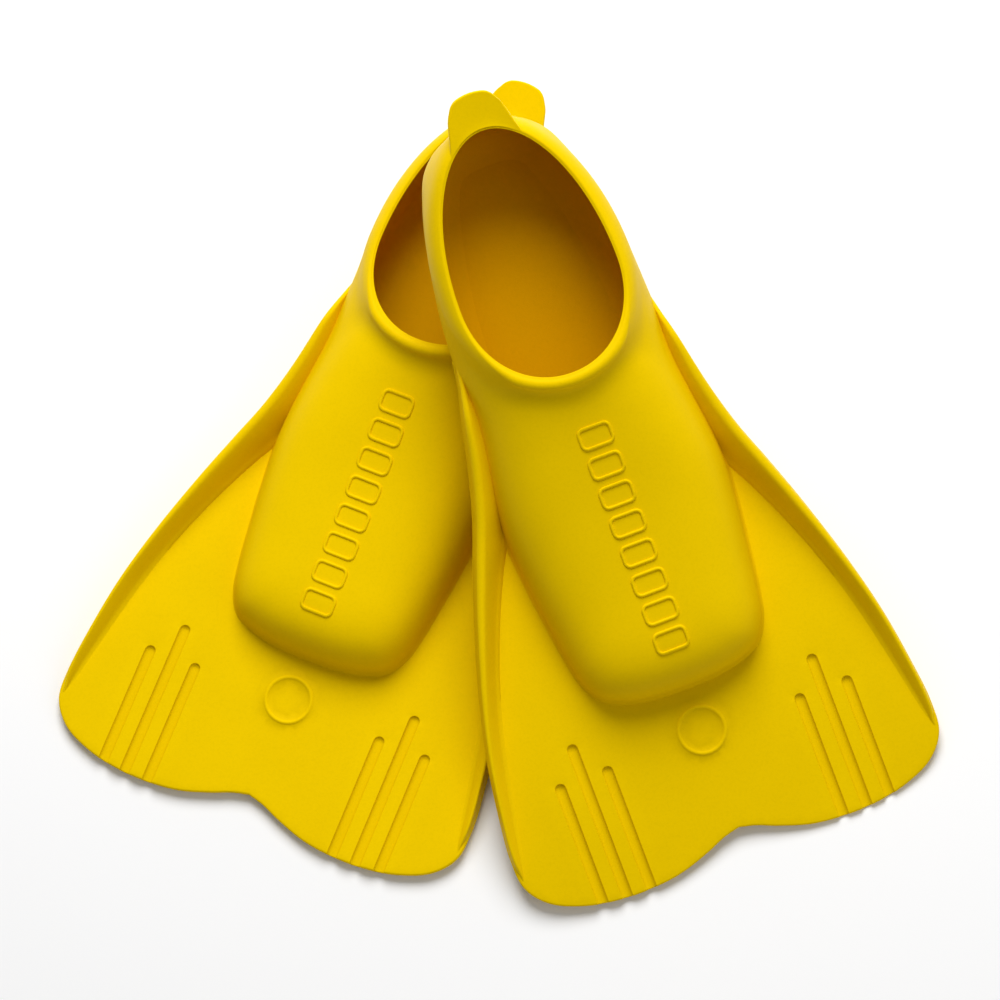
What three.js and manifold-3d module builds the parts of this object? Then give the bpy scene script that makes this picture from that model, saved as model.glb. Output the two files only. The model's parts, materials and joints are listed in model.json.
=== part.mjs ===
// A pair of short, closed-toe, full-foot swim fins for a child, moulded in one yellow rubber.
// The left fin lies flat on its sole. The right fin lies across it, heel over heel.
// Units are millimetres. In a fin's own frame X runs across, -Y from heel to blade end, Z is up.
// Outlines are written as [half width, distance from the heel].
import * as THREE from 'three';
import { mergeVertices } from 'three/addons/utils/BufferGeometryUtils.js';
import Module from 'manifold-3d';

const wasm = await Module();
wasm.setup();

// ---- driving dimensions ----
const GAP = 0.3; // clearance between neighbouring solids
const SOLE_TOP = 5; // top of the sole and of the blade plate at the toe
const WALL = 3; // thickness of the foot pocket
const BLADE_BOTTOM = 1.6; // underside of the blade plate above the floor
const BLADE_END_THICKNESS = 2.2;
const FIN_LENGTH = 286; // heel to the lobes of the blade
const BEAD_RADIUS = 2.4; // collar round the foot opening
const RIM_HEEL_Z = 43;
const RIM_SIDE_Z = 37.5;
const RIM_FRONT_Z = 44;
const RIM_DIP = 2.4; // the instep starts this much below the collar's middle
const OPENING = { half: 29.8, heel: 7.8, middle: 66, front: 100.2, heelPower: 2, frontPower: 2.05 };
const FLEX_LINE = 224; // distance from the heel of the line that the blade bends about
const PLATE_START = 100; // where the blade's plate begins beside the sole
const RAIL_START = 88;
const RAIL_START_HALF = 40.4;
const RAIL_END = 266;
const RAIL_CREST_WIDTH = 1.1;
const RAIL_END_SLOPE = 0.62; // slope of the front rail's rear face, room for the blade to bend up
const GROOVE = { halfWidth: 2.1, depth: 0.9 };
const GROOVES = [[37.8, 240], [47.1, 228], [56.3, 240]]; // [side distance, round end's start]
const TAB = { baseHalf: 15, topHalf: 9.8, length: 13.4, thickness: 2.4, corner: 4.5, lean: 75, y: -5 };
const TAB_LIFT = 0.4; // gap between the collar and the tab's round foot

// The right fin's heel rests on the left one's rim and the end of its blade on the floor.
const LEFT_YAW = -20.9;
const LEFT_HEEL = [7, 139.6];
const RIGHT_TURN = { yaw: 21.65, pitch: 12.7, roll: 1 };
const RIGHT_HEEL = [-9.1, 123.2];

// ---- outlines ----
const FIN_EDGE = [
  [43.7, 100], [47.9, 120], [52.5, 137], [58.6, 154], [65, 173], [72.6, 198], [77.9, 220],
  [81.3, 242], [82.8, 258], [81.6, 269.5], [75, 277.8], [63, 283.3], [50, 285.7], [38, 286],
  [26, 284.7], [14, 281], [6, 277.8], [0, 276.3],
];
const POCKET_EDGE = [
  [0, 2], [9, 2.6], [17.5, 5.8], [24, 12], [28.3, 22], [31.6, 33], [34.4, 47], [37, 64], [38.4, 86],
  [39.2, 100], [41.4, 120], [42.9, 145], [41.6, 165], [39.4, 183], [37.6, 196], [35.1, 207],
  [30.5, 214.5], [22, 218.6], [12, 220.5], [0, 221],
];
const SOLE_EDGE = [
  [0, 4], [9, 4.6], [16.5, 7.6], [22.3, 13.2], [26.3, 22.6], [29.6, 33], [32.4, 47], [35, 64], [36.2, 86],
  [35, 105], [34, 125], [34.3, 147], [33.6, 170], [32, 190], [28.5, 203], [20, 210.5], [10, 213], [0, 213.6],
];
const INSTEP_Z = [
  [105, 40.4], [110, 39.2], [117, 37.9], [125, 36], [150, 31.2], [180, 27.6], [196, 26.2], [205, 25.2],
];
const RAIL_CREST_Z = [[88, 30], [110, 24], [147, 17.5], [190, 14], [225, 11.3], [250, 8.6], [266, 5.9]];
const RAIL_LEAN = [[88, 1], [110, 3], [147, 5], [165, 4], [195, 2.6], [225, 2], [266, 1]];
const RAIL_FOOT = [
  [88, 34], [140, 38], [147, 42.8], [158, 48.6], [174, 56], [192, 63], [209, 68.3], [225, 72.2],
  [243, 75.9], [266, 80.3],
];

// ---- helpers ----
const rubber = (tone) => new THREE.MeshStandardMaterial({ color: tone, roughness: 0.48, metalness: 0 });
const mix = THREE.MathUtils.lerp;
const radians = THREE.MathUtils.degToRad;

// A smooth function through [at, value] pairs.
function profile(pairs) {
  const slope = pairs.map((pair, i) => {
    const before = pairs[Math.max(i - 1, 0)];
    const after = pairs[Math.min(i + 1, pairs.length - 1)];
    return (after[1] - before[1]) / (after[0] - before[0]);
  });
  return (at) => {
    let i = 0;
    while (i < pairs.length - 2 && at > pairs[i + 1][0]) i += 1;
    const span = pairs[i + 1][0] - pairs[i][0];
    const t = THREE.MathUtils.clamp((at - pairs[i][0]) / span, 0, 1);
    const rise = pairs[i + 1][1] - pairs[i][1];
    const bend = (1 - t) * (slope[i] * span - rise) - t * (slope[i + 1] * span - rise);
    return pairs[i][1] + rise * t + t * (1 - t) * bend;
  };
}

// A smooth curve through [half width, distance] points.
function edgeCurve(points) {
  const flat = points.map(([x, s]) => new THREE.Vector3(x, -s, 0));
  return new THREE.CatmullRomCurve3(flat, false, 'centripetal');
}

function weld(geometry) {
  const bare = geometry.index ? geometry.toNonIndexed() : geometry.clone();
  bare.deleteAttribute('normal');
  bare.deleteAttribute('uv');
  const merged = mergeVertices(bare, 1e-4);
  const index = merged.index.array;
  const kept = [];
  for (let i = 0; i < index.length; i += 3) {
    const [a, b, c] = [index[i], index[i + 1], index[i + 2]];
    if (a !== b && b !== c && c !== a) kept.push(a, b, c);
  }
  merged.setIndex(kept);
  return merged;
}

function toSolid(geometry) {
  const closed = weld(geometry);
  return new wasm.Manifold(new wasm.Mesh({
    numProp: 3,
    vertProperties: new Float32Array(closed.attributes.position.array),
    triVerts: new Uint32Array(closed.index.array),
  }));
}

function toGeometry(solid) {
  const mesh = solid.getMesh();
  const geometry = new THREE.BufferGeometry();
  geometry.setAttribute('position', new THREE.BufferAttribute(new Float32Array(mesh.vertProperties), 3));
  geometry.setIndex(Array.from(mesh.triVerts));
  return geometry;
}

function trianglesToGeometry(triangles) {
  const flat = triangles.flatMap((point) => [point.x, point.y, point.z]);
  const geometry = new THREE.BufferGeometry();
  geometry.setAttribute('position', new THREE.Float32BufferAttribute(flat, 3));
  return weld(geometry);
}

// A skin over rings of points; the rings either close on each other or end in flat caps.
function loft(rings, ringsClose = false) {
  const triangles = [];
  const count = rings[0].length;
  const steps = ringsClose ? rings.length : rings.length - 1;
  for (let i = 0; i < steps; i += 1) {
    const here = rings[i];
    const next = rings[(i + 1) % rings.length];
    for (let j = 0; j < count; j += 1) {
      const k = (j + 1) % count;
      triangles.push(here[j], here[k], next[k], here[j], next[k], next[j]);
    }
  }
  if (!ringsClose) {
    const last = rings[rings.length - 1];
    for (let j = 1; j < count - 1; j += 1) {
      triangles.push(rings[0][0], rings[0][j + 1], rings[0][j], last[0], last[j], last[j + 1]);
    }
  }
  return trianglesToGeometry(triangles);
}

// A flat plate between two heights.
function plate(points, bottom, top) {
  const shape = new THREE.Shape(points.map((point) => new THREE.Vector2(point.x, point.y)));
  const geometry = new THREE.ExtrudeGeometry(shape, { depth: top - bottom, bevelEnabled: false });
  return weld(geometry.translate(0, 0, bottom));
}

const mirrored = (point) => new THREE.Vector3(-point.x, point.y, point.z);

// Points of an edge between two distances from the heel, ordered away from the heel.
function edgeBetween(points, from, to, steps) {
  const dense = edgeCurve(points).getSpacedPoints(600);
  const inside = dense.filter((point) => -point.y >= from && -point.y <= to);
  return Array.from({ length: steps + 1 }, (_, i) => inside[Math.round((i * (inside.length - 1)) / steps)]);
}

// ---- foot pocket ----
const instepHeight = profile(INSTEP_Z);

// Middle line of the collar; turn runs from the heel at 0 round to the instep at 1.
function rimPoint(turn) {
  const angle = Math.PI * turn;
  const power = angle < Math.PI / 2 ? OPENING.heelPower : OPENING.frontPower;
  const reach = angle < Math.PI / 2 ? OPENING.middle - OPENING.heel : OPENING.front - OPENING.middle;
  const across = Math.abs(Math.sin(angle)) ** (2 / power);
  const along = Math.abs(Math.cos(angle)) ** (2 / power) * -Math.sign(Math.cos(angle));
  const s = OPENING.middle + along * (reach + BEAD_RADIUS);
  const height = along < 0
    ? mix(RIM_SIDE_Z, RIM_HEEL_Z, along * along)
    : mix(RIM_SIDE_Z, RIM_FRONT_Z, along * along);
  return new THREE.Vector3(across * (OPENING.half + BEAD_RADIUS), -s, height);
}

const RIM_STEPS = 14;
const SPINE_STEPS = 8;
const TOE_STEPS = 7;
const PROFILE_STEPS = 8;
const TOE_POLE = 205; // where the lines over the toe box meet
const STATIONS = RIM_STEPS + SPINE_STEPS + TOE_STEPS;
const RIM_SHARE = 0.44; // share of the pocket's foot, from the heel, whose lines end at the collar
const SPINE_SHARE = 0.83; // share whose lines end at the collar or on the instep's ridge
const HEEL_CURL = 2; // how far the heel's wall turns in to the sole
const HEEL_BULGE = 3.6; // how far the wall swells above its foot
const TOE_BULGE = 0.8;
const FLANK_HEIGHT = 0.62; // share of a line's height where it starts to turn in
const SIDE_RISE = 80; // angle at which the wall meets the collar, in degrees
const FRONT_RISE = 26;

// Distance round the pocket's foot, as a fraction, of each station.
function footFraction(station) {
  if (station <= RIM_STEPS) return mix(0, RIM_SHARE, station / RIM_STEPS);
  const past = station - RIM_STEPS;
  if (past <= SPINE_STEPS) return mix(RIM_SHARE, SPINE_SHARE, past / SPINE_STEPS);
  return mix(SPINE_SHARE, 1, (past - SPINE_STEPS) / TOE_STEPS);
}

// One line of the pocket's skin, from its foot up to the collar, the instep's ridge or the toe.
function pocketLine(station, grow) {
  const curve = edgeCurve(POCKET_EDGE);
  const edge = curve.getPointAt(footFraction(station));
  const along = curve.getTangentAt(footFraction(station));
  const outward = new THREE.Vector3(-along.y, along.x, 0).multiplyScalar(-1);
  if (outward.x < -1e-6) outward.multiplyScalar(-1);
  if (station === 0) outward.set(0, 1, 0);
  if (station === STATIONS) outward.set(0, -1, 0);
  const front = THREE.MathUtils.smoothstep(-edge.y, 90, 130);
  const foot = edge.clone().addScaledVector(outward, grow - mix(HEEL_CURL, 0, front));
  foot.z = SOLE_TOP + GAP;
  let top;
  let rise;
  if (station <= RIM_STEPS) {
    const turn = station / RIM_STEPS;
    top = rimPoint(turn);
    rise = mix(SIDE_RISE, FRONT_RISE, THREE.MathUtils.smoothstep(turn, 0.45, 1));
  } else {
    const t = Math.min((station - RIM_STEPS) / SPINE_STEPS, 1);
    const s = mix(OPENING.front + 2 * BEAD_RADIUS + GAP, TOE_POLE, t);
    top = new THREE.Vector3(0, -s, instepHeight(s));
    rise = 0;
  }
  const inward = new THREE.Vector3(top.x - foot.x, top.y - foot.y, 0).normalize();
  const arrive = inward.clone().multiplyScalar(Math.cos(radians(rise)));
  arrive.z = Math.sin(radians(rise));
  if (station <= RIM_STEPS) {
    top.addScaledVector(arrive, -(BEAD_RADIUS + GAP));
    top.z -= RIM_DIP * (station / RIM_STEPS);
    if (station === RIM_STEPS) top.set(0, -(OPENING.front + 2 * BEAD_RADIUS + GAP), instepHeight(-top.y));
  }
  top.z += grow;
  const reach = foot.distanceTo(top);
  const flank = foot.clone().addScaledVector(outward, mix(HEEL_BULGE, TOE_BULGE, front));
  flank.z += (top.z - foot.z) * FLANK_HEIGHT;
  const shoulder = top.clone().addScaledVector(arrive, -reach * mix(0.3, 0.42, front));
  return new THREE.CubicBezierCurve3(foot, flank, shoulder, top).getPoints(PROFILE_STEPS);
}

// The pocket's outer skin; `grow` moves it outwards.
function pocketSkin(grow = 0) {
  const half = Array.from({ length: STATIONS + 1 }, (_, i) => pocketLine(i, grow));
  const otherHalf = half.slice(1, -1).reverse().map((line) => line.map(mirrored));
  const lines = [...half, ...otherHalf];
  lines[0].forEach((point) => point.setX(0));
  lines[STATIONS].forEach((point) => point.setX(0));
  return lines;
}

function skinTriangles(lines) {
  const triangles = [];
  lines.forEach((line, i) => {
    const next = lines[(i + 1) % lines.length];
    for (let j = 0; j < line.length - 1; j += 1) {
      triangles.push(line[j], line[j + 1], next[j + 1], line[j], next[j + 1], next[j]);
    }
  });
  return triangles;
}

// Thickens an open skin inwards and closes it round its edges.
function thicken(skin, thickness, floor) {
  skin.computeVertexNormals();
  const position = skin.attributes.position;
  const normal = skin.attributes.normal;
  const outer = [];
  const inner = [];
  for (let i = 0; i < position.count; i += 1) {
    const point = new THREE.Vector3().fromBufferAttribute(position, i);
    const away = new THREE.Vector3().fromBufferAttribute(normal, i);
    if (point.z < floor + 1e-3) away.setZ(0).normalize();
    outer.push(point);
    inner.push(point.clone().addScaledVector(away, -thickness));
  }
  const index = skin.index.array;
  const edges = new Set();
  for (let i = 0; i < index.length; i += 3) {
    for (let k = 0; k < 3; k += 1) edges.add(`${index[i + k]} ${index[i + ((k + 1) % 3)]}`);
  }
  const triangles = [];
  for (let i = 0; i < index.length; i += 3) {
    const [a, b, c] = [index[i], index[i + 1], index[i + 2]];
    triangles.push(outer[a], outer[b], outer[c], inner[a], inner[c], inner[b]);
  }
  edges.forEach((edge) => {
    const [a, b] = edge.split(' ').map(Number);
    if (edges.has(`${b} ${a}`)) return;
    triangles.push(outer[b], outer[a], inner[a], outer[b], inner[a], inner[b]);
  });
  return trianglesToGeometry(triangles);
}

function footPocket() {
  const skin = trianglesToGeometry(skinTriangles(pocketSkin()));
  const shell = toSolid(thicken(skin, WALL, SOLE_TOP + GAP));
  return toGeometry(shell.subtract(toSolid(collar(BEAD_RADIUS + GAP))));
}

const SOLE_MIDDLE = 110;

// The pocket as a filled solid, a little larger, to cut the rails with.
function pocketBlank() {
  const lines = pocketSkin(2 * GAP);
  const triangles = skinTriangles(lines);
  const footMiddle = new THREE.Vector3(0, -SOLE_MIDDLE, SOLE_TOP + GAP);
  const rimMiddle = new THREE.Vector3(0, -OPENING.middle, RIM_SIDE_Z);
  lines.forEach((line, i) => {
    const next = lines[(i + 1) % lines.length];
    triangles.push(footMiddle, line[0], next[0]);
    const open = i < RIM_STEPS || i >= lines.length - RIM_STEPS;
    if (open) triangles.push(rimMiddle, next[PROFILE_STEPS], line[PROFILE_STEPS]);
  });
  return toSolid(trianglesToGeometry(triangles));
}

// ---- collar and heel tab ----
const OPENING_REACH = 46; // from the opening's middle to its heel and instep, on average

function collar(radius) {
  const rings = [];
  const sides = 8;
  for (let i = 0; i < 2 * RIM_STEPS; i += 1) {
    const turn = i / RIM_STEPS;
    const centre = turn <= 1 ? rimPoint(turn) : mirrored(rimPoint(2 - turn));
    const away = (centre.y + OPENING.middle) / OPENING_REACH;
    const out = new THREE.Vector3(centre.x / OPENING.half, away, 0).normalize();
    rings.push(Array.from({ length: sides }, (_, k) => {
      const angle = (2 * Math.PI * (k + 0.5)) / sides;
      const point = centre.clone().addScaledVector(out, radius * Math.cos(angle));
      point.z += radius * Math.sin(angle);
      return point;
    }));
  }
  return loft(rings, true);
}

function heelTab() {
  const { baseHalf, topHalf, length, corner, thickness } = TAB;
  const shape = new THREE.Shape();
  shape.moveTo(-baseHalf, 0);
  shape.lineTo(baseHalf, 0);
  shape.lineTo(topHalf, length - corner);
  shape.quadraticCurveTo(topHalf - 1, length - 1.2, topHalf - corner, length - 0.7);
  shape.quadraticCurveTo(0, length + 0.4, corner - topHalf, length - 0.7);
  shape.quadraticCurveTo(1 - topHalf, length - 1.2, -topHalf, length - corner);
  const flap = new THREE.ExtrudeGeometry(shape, { depth: thickness, bevelEnabled: false, curveSegments: 5 });
  flap.translate(0, 0, -thickness / 2);
  const nose = new THREE.CylinderGeometry(thickness / 2, thickness / 2, 2 * baseHalf, 12);
  nose.rotateZ(Math.PI / 2);
  const tab = toGeometry(toSolid(flap).add(toSolid(nose)));
  tab.rotateX(radians(90 - TAB.lean));
  return tab.translate(0, TAB.y, RIM_HEEL_Z + BEAD_RADIUS + TAB_LIFT + thickness / 2);
}

// ---- sole and blade ----
const SOLE_STEPS = 26;
const ROOT_STEPS = 14;

// The sole's plate between two heights; `grow` moves its edge outwards.
function solePlate(bottom, top, grow = 0) {
  const half = edgeCurve(SOLE_EDGE).getSpacedPoints(SOLE_STEPS);
  const wide = half.map((point, i) => {
    const along = half[Math.min(i + 1, SOLE_STEPS)].clone().sub(half[Math.max(i - 1, 0)]);
    const outward = new THREE.Vector3(-along.y, along.x, 0).normalize();
    return point.clone().addScaledVector(outward, grow);
  });
  wide[0].setX(0);
  wide[SOLE_STEPS].setX(0);
  return plate([...wide, ...wide.slice(1, -1).reverse().map(mirrored)], bottom, top);
}

const PLATE_THICKNESS = SOLE_TOP - BLADE_BOTTOM;
const FLEX_Z = BLADE_BOTTOM + PLATE_THICKNESS / 2;
const FLEX_CLEARANCE = PLATE_THICKNESS / 2 + 0.4;

// The plate round the front of the sole, as far as the line that the blade bends about.
function bladeRoot() {
  const edge = edgeBetween(FIN_EDGE, PLATE_START, FLEX_LINE - FLEX_CLEARANCE, ROOT_STEPS);
  edge[ROOT_STEPS].setY(FLEX_CLEARANCE - FLEX_LINE);
  const outline = [...edge, ...edge.slice().reverse().map(mirrored)];
  const whole = toSolid(plate(outline, BLADE_BOTTOM, SOLE_TOP));
  return toGeometry(whole.subtract(toSolid(solePlate(-1, SOLE_TOP + 1, GAP + 0.1))));
}

// Height of the blade's upper or lower face; the plate thins evenly towards its end.
function bladeFace(s, upper) {
  const t = THREE.MathUtils.clamp((s - FLEX_LINE) / (FIN_LENGTH - FLEX_LINE), 0, 1);
  const half = mix(PLATE_THICKNESS, BLADE_END_THICKNESS, t) / 2;
  return upper ? FLEX_Z + half : FLEX_Z - half;
}

function grooveCutter(x, start) {
  const { halfWidth, depth } = GROOVE;
  const radius = (halfWidth ** 2 + depth ** 2) / (2 * depth);
  const from = bladeFace(start, true);
  const fall = (bladeFace(FLEX_LINE, true) - bladeFace(FIN_LENGTH, true)) / (FIN_LENGTH - FLEX_LINE);
  const length = FIN_LENGTH + 12 - start;
  const cutter = new THREE.CapsuleGeometry(radius, length, 5, 16);
  cutter.translate(0, -length / 2, 0);
  cutter.rotateX(Math.atan(fall));
  return toSolid(cutter.translate(x, -start, from + radius - depth));
}

function blade() {
  const dense = edgeCurve(FIN_EDGE).getSpacedPoints(120).filter((point) => -point.y > FLEX_LINE + 1);
  const edge = dense.filter((point, i) => i % 2 === 0 || i > dense.length - 4);
  const root = edge[0].clone().setY(-FLEX_LINE).setX(edge[0].x - 0.5);
  const right = [root, ...edge];
  const outline = [...right.slice(0, -1), ...right.slice().reverse().map(mirrored)];
  outline[right.length - 1].setX(0);
  const flat = plate(outline, 0, 1);
  const position = flat.attributes.position;
  for (let i = 0; i < position.count; i += 1) {
    position.setZ(i, bladeFace(-position.getY(i), position.getZ(i) > 0.5));
  }
  const nose = new THREE.CylinderGeometry(PLATE_THICKNESS / 2, PLATE_THICKNESS / 2, 2 * root.x, 16);
  nose.rotateZ(Math.PI / 2).translate(0, -FLEX_LINE, FLEX_Z);
  let solid = toSolid(flat).add(toSolid(nose));
  GROOVES.forEach(([x, start]) => {
    solid = solid.subtract(grooveCutter(x, start)).subtract(grooveCutter(-x, start));
  });
  return toGeometry(solid);
}

// ---- rails ----
const finHalfWidth = profile(FIN_EDGE.slice(0, 9).map(([x, s]) => [s, x]));
const railCrest = profile(RAIL_CREST_Z);
const railLean = profile(RAIL_LEAN);
const railFoot = profile(RAIL_FOOT);

function railRing(s, bottom, slope) {
  const before = (s - RAIL_START) / (PLATE_START - RAIL_START);
  const out = s < PLATE_START ? mix(RAIL_START_HALF, FIN_EDGE[0][0], before) : finHalfWidth(s);
  const crest = railCrest(s);
  const lean = railLean(s);
  const corners = [
    [out - 0.2, bottom], [out - lean, crest], [out - lean - RAIL_CREST_WIDTH, crest], [railFoot(s), bottom],
  ];
  return corners.map(([x, z]) => new THREE.Vector3(x, -(s + slope * (z - bottom)), z));
}

const REAR_RAIL_STEPS = 14;
const FRONT_RAIL_STEPS = 6;

function rearRail(blank) {
  const end = FLEX_LINE - FLEX_CLEARANCE;
  const rings = [];
  for (let i = 0; i <= REAR_RAIL_STEPS; i += 1) {
    rings.push(railRing(mix(RAIL_START, end, i / REAR_RAIL_STEPS), SOLE_TOP + GAP, 0));
  }
  return toGeometry(toSolid(loft(rings)).subtract(blank));
}

function frontRail() {
  const start = FLEX_LINE + FLEX_CLEARANCE;
  const rings = [];
  for (let i = 0; i <= FRONT_RAIL_STEPS; i += 1) {
    const s = mix(start, RAIL_END, i / FRONT_RAIL_STEPS);
    rings.push(railRing(s, bladeFace(s, true) + GAP, i === 0 ? RAIL_END_SLOPE : 0));
  }
  return loft(rings);
}

// ---- assembly ----
function flipped(geometry) {
  return toGeometry(toSolid(geometry).mirror([1, 0, 0]));
}

const SOLE_TONE = 0xdcbc00;
const BODY_TONE = 0xe6c800;
const EDGE_TONE = 0xf5d800;

function addFin(side, group) {
  const blank = pocketBlank();
  const rear = rearRail(blank);
  const front = frontRail();
  const pieces = {
    sole: [solePlate(0, SOLE_TOP), SOLE_TONE],
    foot_pocket: [footPocket(), BODY_TONE],
    collar: [collar(BEAD_RADIUS), EDGE_TONE],
    heel_tab: [heelTab(), EDGE_TONE],
    blade_root: [bladeRoot(), BODY_TONE],
    blade: [blade(), BODY_TONE],
    rail_rear_right: [rear, EDGE_TONE],
    rail_rear_left: [flipped(rear), EDGE_TONE],
    rail_front_right: [front, EDGE_TONE],
    rail_front_left: [flipped(front), EDGE_TONE],
  };
  Object.entries(pieces).forEach(([name, [geometry, tone]]) => {
    const mesh = new THREE.Mesh(geometry, rubber(tone));
    mesh.name = `${side}_${name}`;
    group.add(mesh);
  });
  return group;
}

const leftFin = addFin('left', new THREE.Group());
leftFin.rotation.z = radians(LEFT_YAW);
leftFin.position.set(...LEFT_HEEL, 0);

const rightFin = addFin('right', new THREE.Group());
rightFin.rotation.set(radians(RIGHT_TURN.pitch), radians(RIGHT_TURN.roll), radians(RIGHT_TURN.yaw), 'ZXY');
rightFin.position.set(...RIGHT_HEEL, 0);
rightFin.position.z = -new THREE.Box3().setFromObject(rightFin, true).min.z;

// The pair's origin is on the floor, under the middle of its box.
const pair = new THREE.Group();
pair.add(leftFin, rightFin);
const box = new THREE.Box3().setFromObject(pair, true);
pair.position.set(-(box.min.x + box.max.x) / 2, -(box.min.y + box.max.y) / 2, 0);

export default pair;
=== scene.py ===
"""A pair of short, closed-toe, full-foot swim fins for a child, moulded in one yellow rubber.

Each fin is modelled in its own frame in millimetres, as points (across, along, up): `along` is the
distance from the heel, and `across` is 0 on the middle line. Each finished mesh is then laid where the
frame's joints say that the fin lies, in metres.
"""
import json
import math

import bpy
import numpy as np
from mathutils import Matrix, Vector
from mathutils.geometry import delaunay_2d_cdt


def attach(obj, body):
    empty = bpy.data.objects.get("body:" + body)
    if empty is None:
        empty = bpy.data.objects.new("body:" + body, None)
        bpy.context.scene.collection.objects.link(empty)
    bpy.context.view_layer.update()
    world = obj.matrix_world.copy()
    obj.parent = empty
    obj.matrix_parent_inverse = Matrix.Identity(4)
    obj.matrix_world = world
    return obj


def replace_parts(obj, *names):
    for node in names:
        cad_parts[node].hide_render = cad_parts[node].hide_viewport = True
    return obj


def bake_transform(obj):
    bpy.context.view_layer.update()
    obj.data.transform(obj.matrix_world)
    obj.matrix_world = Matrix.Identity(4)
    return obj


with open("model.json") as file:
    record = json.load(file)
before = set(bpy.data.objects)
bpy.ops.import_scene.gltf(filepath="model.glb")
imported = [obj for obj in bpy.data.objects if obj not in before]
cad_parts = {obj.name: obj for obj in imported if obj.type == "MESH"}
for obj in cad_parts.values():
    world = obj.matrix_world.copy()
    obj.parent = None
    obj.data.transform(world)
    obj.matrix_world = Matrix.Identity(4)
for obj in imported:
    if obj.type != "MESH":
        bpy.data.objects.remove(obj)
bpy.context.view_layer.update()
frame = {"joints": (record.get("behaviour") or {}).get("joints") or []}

MM = 0.001

# ---- how the two fins lie, and where they bend ----
TURNS = {  # yaw, pitch and roll in degrees
    "left": (-20.9, 0.0, 0.0),
    "right": (21.65, 12.7, 1.0),
}
FLEX_ALONG = 224.0  # the line that the blade bends about
FLEX_UP = 3.3
FLEX_SPAN = (222, 246)  # the stretch of the real fin, round the flex line, over which its plate and rails bend
TAB_HINGE = (0.0, 5.0, 47.0)
TAB_SPAN = (-1.5, 5.5)  # the real pull tab bends from just before its hinge to a little way past it

# ---- outlines, as (half width, distance from the heel) ----
FIN_EDGE = [
    (37.4, 70), (38.2, 79), (39.8, 89), (42.7, 100), (47.2, 120), (52.1, 137), (58.4, 154), (65, 173),
    (72.6, 198), (77.9, 220), (81.3, 242), (82.8, 258), (81.6, 269.5), (75, 277.8), (63, 283.3),
    (50, 285.7), (38, 286), (26, 284.7), (14, 281), (6, 277.8), (0, 276.3),
]
FIN_SIDE = FIN_EDGE[:13]  # its stretch from the heel's side to the blade's corner
POCKET_EDGE = [
    (0, 2), (9, 2.6), (17.5, 5.8), (24, 12), (28.3, 22), (31.6, 33), (34.4, 47), (37, 64), (38.4, 86),
    (39.2, 100), (41.4, 120), (42.9, 145), (41.6, 165), (39.4, 183), (37.6, 196), (35.1, 207),
    (30.5, 214.5), (22, 218.6), (12, 220.5), (0, 221),
]
POCKET_SIDE = POCKET_EDGE[8:17]  # its stretch from the ankle to the toe box's corner
SOLE_EDGE = [
    (0, 4), (9, 4.6), (16.5, 7.6), (22.3, 13.2), (26.3, 22.6), (29.6, 33), (32.4, 47), (35, 64), (36.2, 86),
    (35, 105), (34, 125), (34.3, 147), (33.6, 170), (32, 190), (28.5, 203), (20, 210.5), (10, 213),
    (0, 213.6),
]
SOLE_SIDE = SOLE_EDGE[3:16]

# ---- the foot pocket ----
WALL = 3.0
SOLE_TOP = 5.0
DOME_FOOT = 5.3  # the dome of the instep and toe box springs from this height
FOOT_UP = {"side": 1.7, "front": 4.7}  # the skin's lower edge, beside the sole and on the blade
INSTEP_UP = [  # height of the middle line at each distance from the heel
    (0, 54), (60, 47), (90, 42.5), (105, 40.6), (114, 38.6), (125, 36), (150, 31.2), (180, 27.6),
    (200, 25.9), (221, 24.3),
]
DOME_POWER = {"ankle": 2.5, "instep": 3.6, "toe": 5.0}  # the higher, the more box-shaped the dome
TOE_SHARE = 0.8  # the toe's power is reached at this share of the turn from the side to the middle
FAN_CENTRE = 70.0  # the pocket's lines run, seen from above, through this point inside the opening
TOE_CENTRE = 185.0  # middle of the toe box's rounding
CURL = 2.4  # how far the wall turns in to the sole at the heel
CURL_UP = 0.4  # share of the wall's height where it is widest
CURL_POWER = 2.4
UPPER_POWER = 1.9  # the higher, the later the wall turns in to the collar
ROW_POWER = 1.15  # the wall's rows lie closer together near its foot
FOOT_FILLET = 1.3  # size of the moulded fillet between toe box and blade
INNER_FILLET = 10.0  # soft corner between the wall and the foot bed
INNER_SINK = 0.08  # its edge lies this deep in the foot bed

# stretches along the fin over which one shape turns into another
FRONT_ZONE = (74, 124)  # the upright wall turns into the dome of the instep
SHOULDER_ZONE = (70, 130)  # the collar's thin edge turns into its thick front bead
PLATE_ZONE = (80, 98)  # the skin's lower edge climbs from the sole's side onto the blade
BOXY_ZONE = (95, 150)  # the dome becomes more box-shaped

# ---- the collar ----
BEAD = 2.4  # radius of the collar in front of the foot
SIDE_BEAD = 1.0  # radius of its edge round the heel and sides
EDGE_RAISE = 0.8  # share of the difference in radius by which the thin edge is lifted
BEAD_START = {"side": 62.0, "front": 12.0}  # the bead's round section starts at this angle, in degrees
BEAD_END = 186.0
COLLAR_GAP = {"side": 1.6, "front": 7.5}  # width of the hollow between the pocket and the collar
COLLAR_DROP = {"side": 7.5, "front": 4.5}  # its depth
OPENING = {"half": 29.8, "heel": 7.8, "middle": 66.0, "front": 100.2, "heel_power": 2.0, "front_power": 2.05}
RIM_UP = {"heel": 43.0, "side": 37.5, "front": 44.0}  # height of the collar's middle line
LIP = {"up": 0.55, "side_up": 0.25, "at": 2.62, "width": 0.2}  # the fine ridge on the collar's inner edge

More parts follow.
